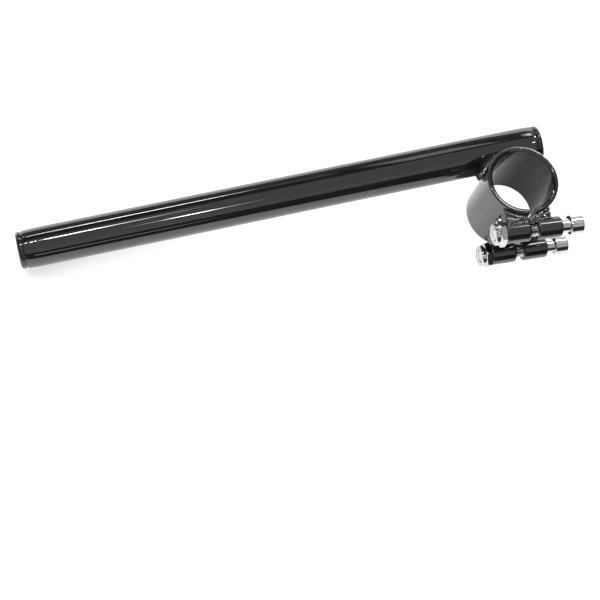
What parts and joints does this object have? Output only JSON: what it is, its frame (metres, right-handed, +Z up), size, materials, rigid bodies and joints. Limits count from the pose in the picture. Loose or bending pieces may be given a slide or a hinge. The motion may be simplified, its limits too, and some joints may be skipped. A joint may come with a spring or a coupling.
{
  "type": "clip-on handlebar",
  "caption": "Drooping clip-on handlebar: a straight gloss black tube welded across the back of a split fork clamp, which pinch screws close through short bosses.",
  "frame": {"origin": "on the axis of the fork clamp's bore, at the clamp's mid-height", "axes": "+Z up the fork leg along the bore; the tube runs towards -X behind the clamp and droops; the split and the pinch screws face -Y"},
  "size_m": [0.3086, 0.0743, 0.076],
  "materials": {
    "black_paint": "gloss",
    "black_plastic": "satin gloss",
    "chrome": "bright plated"
  },
  "bodies": {
    "root": {"bar_tube": "black_paint", "outer_end_plug": "black_plastic", "inner_end_plug": "black_plastic", "clamp_ring": "black_paint", "bar_weld": "black_paint", "upper_left_boss": "black_paint", "upper_right_boss": "black_paint", "lower_left_boss": "black_paint", "lower_right_boss": "black_paint", "upper_left_boss_weld": "black_paint", "upper_right_boss_weld": "black_paint", "lower_left_boss_weld": "black_paint", "lower_right_boss_weld": "black_paint", "upper_pinch_screw": "chrome", "lower_pinch_screw": "chrome", "upper_pinch_nut": "chrome", "lower_pinch_nut": "chrome"}
  },
  "joints": []
}
